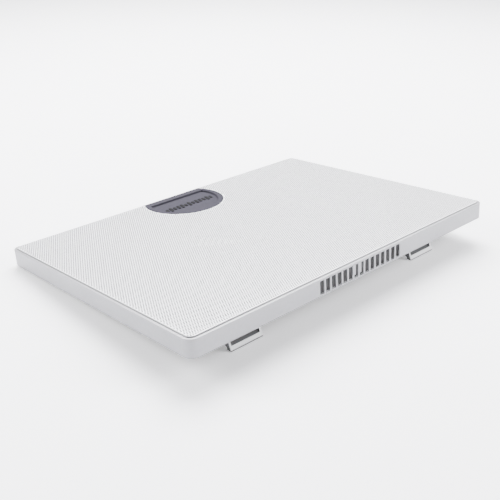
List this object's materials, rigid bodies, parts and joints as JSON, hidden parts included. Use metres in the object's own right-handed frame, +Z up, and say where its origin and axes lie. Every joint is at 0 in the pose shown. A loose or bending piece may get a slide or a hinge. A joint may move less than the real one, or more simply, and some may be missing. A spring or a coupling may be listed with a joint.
{
  "type": "laptop cooling pad",
  "caption": "Flat laptop cooling pad: perforated metal top over a slim fan, rear air slots, and fold-out rear feet that tilt it towards the user.",
  "frame": {"origin": "middle of the pad's overall width and depth, on the surface it stands on", "axes": "+X to the user's right along the pad's length, +Y to the rear, +Z up; the pad stands tilted on its rear feet, so its top faces up and towards the user"},
  "size_m": [0.37, 0.2642, 0.0419],
  "materials": {
    "case_plastic": "satin silver-grey plastic",
    "cover_plastic": "fine-textured dark grey plastic",
    "sheet_metal": "satin silver coat",
    "badge_plastic": "satin purple-grey plastic",
    "ornament_plastic": "gloss black",
    "rubber": "matt dark grey rubber",
    "fan_plastic": "satin black plastic",
    "steel": "bright steel",
    "core_steel": "dull electrical steel",
    "ferrite": "matt ferrite",
    "copper": "enamelled copper wire",
    "bronze": "sintered bronze",
    "circuit_board": "green solder mask",
    "lead_sleeve": "black vinyl",
    "connector_plastic": "natural nylon",
    "inlet_steel": "plated steel",
    "black_plastic": "matt black plastic"
  },
  "bodies": {
    "root": {"side_frame": "case_plastic", "bottom_cover": "cover_plastic", "top_mesh": "sheet_metal", "front_badge": "badge_plastic", "badge_ornament": "ornament_plastic", "case_screws": "steel", "front_rubber_feet": "rubber", "rear_rubber_feet": "rubber", "left_foot_pin": "steel", "right_foot_pin": "steel", "fan_frame": "fan_plastic", "fan_bearing": "bronze", "fan_board": "circuit_board", "fan_stator": "core_steel", "fan_windings": "copper", "fan_screws": "steel", "fan_lead": "lead_sleeve", "control_board": "circuit_board", "board_screws": "steel", "lead_connector": "connector_plastic", "usb_inlet": "inlet_steel", "usb_tongue": "black_plastic", "switch_housing": "inlet_steel"},
    "fan": {"fan_rotor": "fan_plastic", "fan_magnet": "ferrite", "fan_shaft": "steel"},
    "left_foot": {"left_foot": "case_plastic", "left_foot_sole": "rubber"},
    "right_foot": {"right_foot": "case_plastic", "right_foot_sole": "rubber"},
    "switch": {"switch_knob": "black_plastic"}
  },
  "joints": [
    {"name": "fan_spin", "type": "hinge", "parent": "root", "child": "fan", "pos_m": [0, 0.01198, 0.02232], "axis": [0, -0.0909, 0.9959], "continuous": true},
    {"name": "left_foot_fold", "type": "hinge", "parent": "root", "child": "left_foot", "pos_m": [-0.1143, 0.06178, 0.02386], "axis": [1, 0, 0], "range_deg": [0, 27]},
    {"name": "right_foot_fold", "type": "hinge", "parent": "root", "child": "right_foot", "pos_m": [0.1143, 0.06178, 0.02386], "axis": [1, 0, 0], "range_deg": [0, 27]},
    {"name": "switch_slide", "type": "slide", "parent": "root", "child": "switch", "axis": [0, 0.9959, 0.0909], "range_m": [0, 0.002]}
  ]
}
